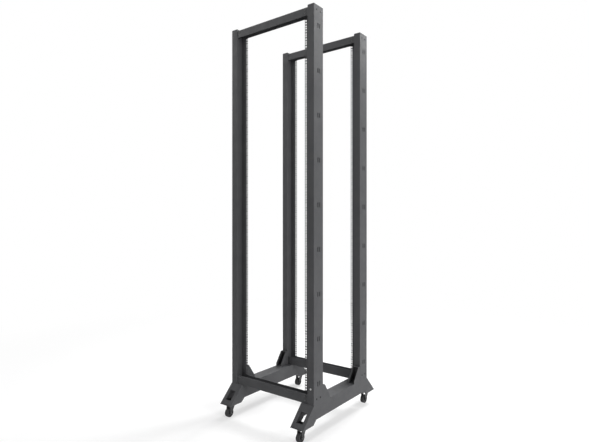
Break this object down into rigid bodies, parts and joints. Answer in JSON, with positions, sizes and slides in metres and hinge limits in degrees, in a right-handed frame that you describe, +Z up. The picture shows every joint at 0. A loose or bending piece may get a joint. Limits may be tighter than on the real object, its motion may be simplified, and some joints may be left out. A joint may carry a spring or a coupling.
{
  "type": "four post open frame rack",
  "caption": "Open frame equipment rack: folded posts with square-hole mounting strips, cross beams, base channels with sloping feet, and swivel casters.",
  "frame": {"origin": "on the floor, under the middle of the rack", "axes": "+Z up, -Y the front, +X to the right seen from the front"},
  "size_m": [0.64, 0.811, 2.4336],
  "materials": {
    "powder_coat": "fine satin powder coat",
    "caster_steel": "dark plated steel",
    "caster_wheel": "matt black nylon"
  },
  "bodies": {
    "rack": {"base_channel_left": "powder_coat", "base_channel_right": "powder_coat", "bottom_beam_front": "powder_coat", "top_beam_front": "powder_coat", "bottom_beam_rear": "powder_coat", "top_beam_rear": "powder_coat", "post_front_left": "powder_coat", "mounting_strip_front_left": "powder_coat", "gusset_front_left": "powder_coat", "foot_plate_front_left": "powder_coat", "foot_sole_front_left": "powder_coat", "caster_plate_front_left": "caster_steel", "post_front_right": "powder_coat", "mounting_strip_front_right": "powder_coat", "gusset_front_right": "powder_coat", "foot_plate_front_right": "powder_coat", "foot_sole_front_right": "powder_coat", "caster_plate_front_right": "caster_steel", "post_rear_left": "powder_coat", "mounting_strip_rear_left": "powder_coat", "gusset_rear_left": "powder_coat", "foot_plate_rear_left": "powder_coat", "foot_sole_rear_left": "powder_coat", "caster_plate_rear_left": "caster_steel", "post_rear_right": "powder_coat", "mounting_strip_rear_right": "powder_coat", "gusset_rear_right": "powder_coat", "foot_plate_rear_right": "powder_coat", "foot_sole_rear_right": "powder_coat", "caster_plate_rear_right": "caster_steel"},
    "swivel_front_left": {"caster_fork_front_left": "caster_steel"},
    "wheel_front_left": {"caster_wheel_front_left": "caster_wheel"},
    "swivel_front_right": {"caster_fork_front_right": "caster_steel"},
    "wheel_front_right": {"caster_wheel_front_right": "caster_wheel"},
    "swivel_rear_left": {"caster_fork_rear_left": "caster_steel"},
    "wheel_rear_left": {"caster_wheel_rear_left": "caster_wheel"},
    "swivel_rear_right": {"caster_fork_rear_right": "caster_steel"},
    "wheel_rear_right": {"caster_wheel_rear_right": "caster_wheel"}
  },
  "joints": [
    {"name": "caster_swivel_front_left", "type": "hinge", "parent": "rack", "child": "swivel_front_left", "pos_m": [-0.276, -0.356, 0.0765], "axis": [0, 0, 1], "continuous": true},
    {"name": "caster_roll_front_left", "type": "hinge", "parent": "swivel_front_left", "child": "wheel_front_left", "pos_m": [-0.276, -0.371, 0.027], "axis": [1, 0, 0], "continuous": true},
    {"name": "caster_swivel_front_right", "type": "hinge", "parent": "rack", "child": "swivel_front_right", "pos_m": [0.276, -0.356, 0.0765], "axis": [0, 0, 1], "continuous": true},
    {"name": "caster_roll_front_right", "type": "hinge", "parent": "swivel_front_right", "child": "wheel_front_right", "pos_m": [0.276, -0.371, 0.027], "axis": [1, 0, 0], "continuous": true},
    {"name": "caster_swivel_rear_left", "type": "hinge", "parent": "rack", "child": "swivel_rear_left", "pos_m": [-0.276, 0.356, 0.0765], "axis": [0, 0, 1], "continuous": true},
    {"name": "caster_roll_rear_left", "type": "hinge", "parent": "swivel_rear_left", "child": "wheel_rear_left", "pos_m": [-0.276, 0.341, 0.027], "axis": [1, 0, 0], "continuous": true},
    {"name": "caster_swivel_rear_right", "type": "hinge", "parent": "rack", "child": "swivel_rear_right", "pos_m": [0.276, 0.356, 0.0765], "axis": [0, 0, 1], "continuous": true},
    {"name": "caster_roll_rear_right", "type": "hinge", "parent": "swivel_rear_right", "child": "wheel_rear_right", "pos_m": [0.276, 0.341, 0.027], "axis": [1, 0, 0], "continuous": true}
  ]
}
